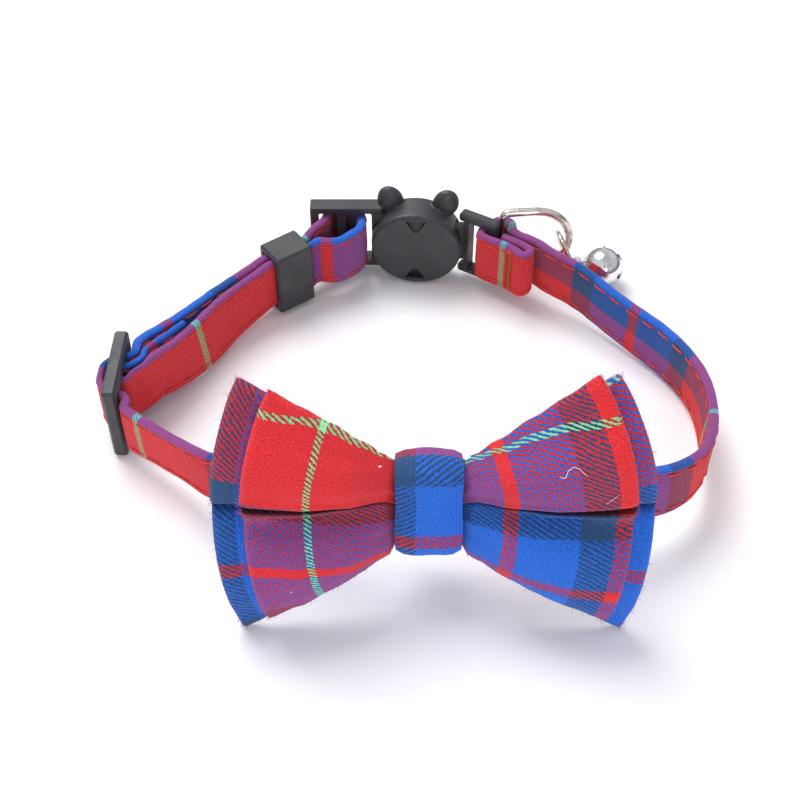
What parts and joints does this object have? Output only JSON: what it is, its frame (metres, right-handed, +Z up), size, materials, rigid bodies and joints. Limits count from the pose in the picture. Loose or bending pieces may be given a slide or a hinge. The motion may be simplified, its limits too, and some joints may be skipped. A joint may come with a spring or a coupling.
{
  "type": "pet bow tie collar",
  "caption": "Fabric pet collar in a closed loop on its edge, with a layered pleated bow at the front, a slider, a sleeve keeper, a breakaway buckle, a D-ring and a small bell.",
  "frame": {"origin": "on the floor that the collar stands on, at the middle of its outer box in plan", "axes": "+Z up, out of the floor, across the band's width; +X to the right as one looks at the bow's front, along the loop's long way; the bow faces -Y and the buckle is at +Y"},
  "size_m": [0.0972, 0.084, 0.0388],
  "materials": {
    "strap_cloth": "matt tartan cotton twill",
    "bow_cloth": "matt tartan cotton twill",
    "plastic": "satin",
    "plated_wire": "nickel plated",
    "plated_bell": "bright nickel plated"
  },
  "bodies": {
    "root": {"strap": "strap_cloth", "bow_back": "bow_cloth", "bow_front": "bow_cloth", "bow_knot": "bow_cloth", "bow_loop": "bow_cloth", "slider": "plastic", "keeper": "plastic", "buckle_head": "plastic", "buckle_tongue": "plastic", "d_ring": "plated_wire", "jump_ring": "plated_wire", "bell": "plated_bell"}
  },
  "joints": []
}
